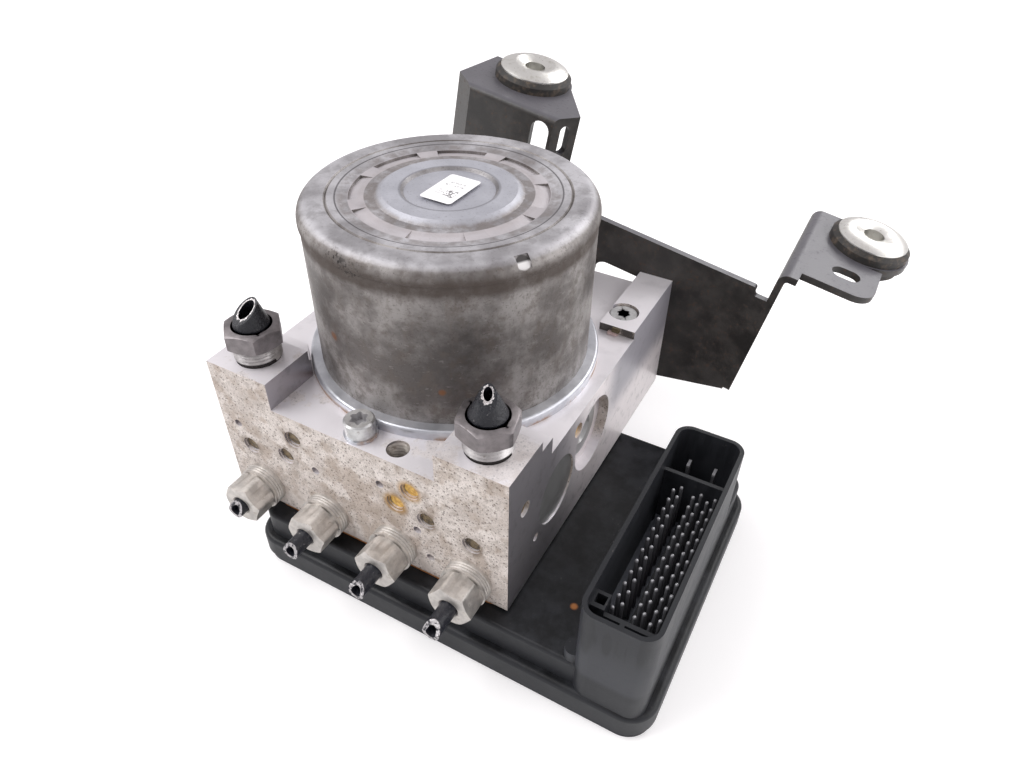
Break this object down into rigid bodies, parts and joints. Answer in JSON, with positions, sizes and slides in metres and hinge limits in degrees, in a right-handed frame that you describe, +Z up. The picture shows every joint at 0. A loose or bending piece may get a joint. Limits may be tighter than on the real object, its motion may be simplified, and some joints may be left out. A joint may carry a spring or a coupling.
{
  "type": "anti-lock brake module",
  "caption": "Anti-lock brake module: aluminium valve block with pump motor, black control unit with open connector, and a folded steel bracket on rubber bushes.",
  "frame": {"origin": "on the flat underside of the control unit, below the motor's axis", "axes": "+Z up along the motor's axis, -Y towards the four wheel-line nuts, +X towards the connector"},
  "size_m": [0.1553, 0.1761, 0.1138],
  "materials": {
    "housing": "black glass-filled plastic, satin",
    "cover": "black plastic",
    "pins": "tinned",
    "board": "green solder mask",
    "chip": "moulded",
    "capacitor": "satin",
    "choke": "pressed ferrite",
    "coil": "dark",
    "seal": "dark brown",
    "screw": "zinc plated",
    "block": "satin, weathered",
    "valve": "turned",
    "plug": "turned, dull",
    "spring": "wire",
    "piston": "ground",
    "can": "zinc coated steel, dull and stained",
    "flange": "zinc coated steel",
    "rotor": "ground",
    "laminations": "stacked steel",
    "copper": "enamelled copper",
    "magnet": "ferrite",
    "holder": "moulded",
    "carbon": "carbon",
    "nut": "zinc plated, dull",
    "tube": "black plastic coated steel tube",
    "bracket": "black paint with rust specks",
    "rubber": "black",
    "sleeve": "bright zinc"
  },
  "bodies": {
    "module": {"ecu_cover": "cover", "ecu_housing": "housing", "signal_pins": "pins", "power_blades": "pins", "circuit_board": "board", "board_pillars": "holder", "processor_chip": "chip", "supply_capacitors": "capacitor", "supply_choke": "choke", "solenoid_coils": "coil", "housing_seal": "seal", "unit_screws": "screw", "valve_block": "block", "valve_cartridges": "valve", "ball_plugs": "plug", "motor_flange": "flange", "motor_can": "can", "motor_screws": "screw", "post_screws": "screw", "field_magnets": "magnet", "brush_holder": "holder", "brushes": "carbon", "brush_springs": "spring", "lower_bearing": "rotor", "upper_bearing": "rotor", "motor_lead_sleeve": "holder", "post_port_nuts": "nut", "front_port_nuts": "nut", "front_tubes": "tube", "bracket": "bracket", "bracket_screws": "screw", "pump_spring_left": "spring", "pump_plug_left": "plug", "accumulator_spring_left": "spring", "accumulator_cap_left": "plug", "post_tube_left": "tube", "rubber_bush_left": "rubber", "bush_sleeve_left": "sleeve", "pump_spring_right": "spring", "pump_plug_right": "plug", "accumulator_spring_right": "spring", "accumulator_cap_right": "plug", "post_tube_right": "tube", "rubber_bush_right": "rubber", "bush_sleeve_right": "sleeve"},
    "rotor": {"rotor_shaft": "rotor", "pump_eccentric": "rotor", "eccentric_ring": "rotor", "armature_core": "laminations", "armature_windings": "copper", "commutator": "copper"},
    "pump_piston_left": {"pump_piston_left": "piston"},
    "accumulator_piston_left": {"accumulator_piston_left": "piston"},
    "pump_piston_right": {"pump_piston_right": "piston"},
    "accumulator_piston_right": {"accumulator_piston_right": "piston"}
  },
  "joints": [
    {"name": "rotor_spin", "type": "hinge", "parent": "module", "child": "rotor", "pos_m": [0, 0, 0.0424], "axis": [0, 0, 1], "continuous": true},
    {"name": "pump_stroke_left", "type": "slide", "parent": "module", "child": "pump_piston_left", "axis": [-1, 0, 0], "range_m": [0, 0.0018], "stiffness_N_per_m": 4000, "springref_m": -0.002, "deforming": ["pump_spring_left"]},
    {"name": "accumulator_stroke_left", "type": "slide", "parent": "module", "child": "accumulator_piston_left", "axis": [-1, 0, 0], "range_m": [0, 0.004], "stiffness_N_per_m": 3000, "springref_m": -0.003, "deforming": ["accumulator_spring_left"]},
    {"name": "pump_stroke_right", "type": "slide", "parent": "module", "child": "pump_piston_right", "axis": [1, 0, 0], "range_m": [0, 0.0018], "stiffness_N_per_m": 4000, "springref_m": -0.002, "deforming": ["pump_spring_right"]},
    {"name": "accumulator_stroke_right", "type": "slide", "parent": "module", "child": "accumulator_piston_right", "axis": [1, 0, 0], "range_m": [0, 0.004], "stiffness_N_per_m": 3000, "springref_m": -0.003, "deforming": ["accumulator_spring_right"]}
  ]
}
